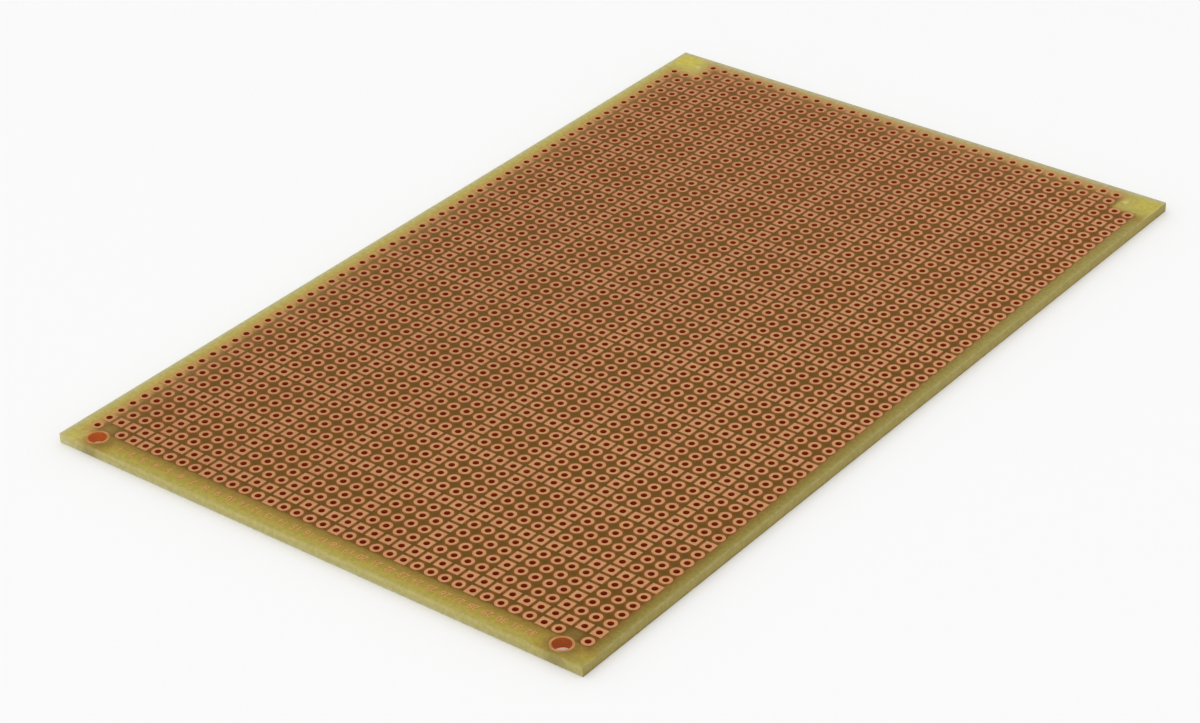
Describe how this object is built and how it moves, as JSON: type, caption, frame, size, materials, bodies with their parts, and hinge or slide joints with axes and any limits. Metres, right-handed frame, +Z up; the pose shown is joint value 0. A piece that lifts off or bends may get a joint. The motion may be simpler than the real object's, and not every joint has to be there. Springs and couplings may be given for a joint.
{
  "type": "prototype board",
  "caption": "Bare prototyping circuit board with a grid of plated, padded holes, square counting pads and a screwed-down edge connector's place.",
  "frame": {"origin": "centre of the board's outline, on the plane that the pads underneath stand on", "axes": "+X along the connector edge, from the first counted column to the last; +Y from the connector edge to the far edge; +Z up, out of the face with the square pads"},
  "size_m": [0.1, 0.16, 0.0017],
  "materials": {
    "laminate": "bare translucent yellow-green glass-epoxy with no solder mask, satin",
    "copper": "bare salmon-pink copper, satin"
  },
  "bodies": {
    "root": {"laminate": "laminate", "mounting_eyelets": "copper", "pads_column_01": "copper", "pads_column_02": "copper", "pads_column_03": "copper", "pads_column_04": "copper", "pads_column_05": "copper", "pads_column_06": "copper", "pads_column_07": "copper", "pads_column_08": "copper", "pads_column_09": "copper", "pads_column_10": "copper", "pads_column_11": "copper", "pads_column_12": "copper", "pads_column_13": "copper", "pads_column_14": "copper", "pads_column_15": "copper", "pads_column_16": "copper", "pads_column_17": "copper", "pads_column_18": "copper", "pads_column_19": "copper", "pads_column_20": "copper", "pads_column_21": "copper", "pads_column_22": "copper", "pads_column_23": "copper", "pads_column_24": "copper", "pads_column_25": "copper", "pads_column_26": "copper", "pads_column_27": "copper", "pads_column_28": "copper", "pads_column_29": "copper", "pads_column_30": "copper", "pads_column_31": "copper", "pads_column_32": "copper", "pads_column_33": "copper", "pads_column_34": "copper", "pads_column_35": "copper", "pads_column_36": "copper", "pads_column_37": "copper", "pads_column_38": "copper"}
  },
  "joints": []
}
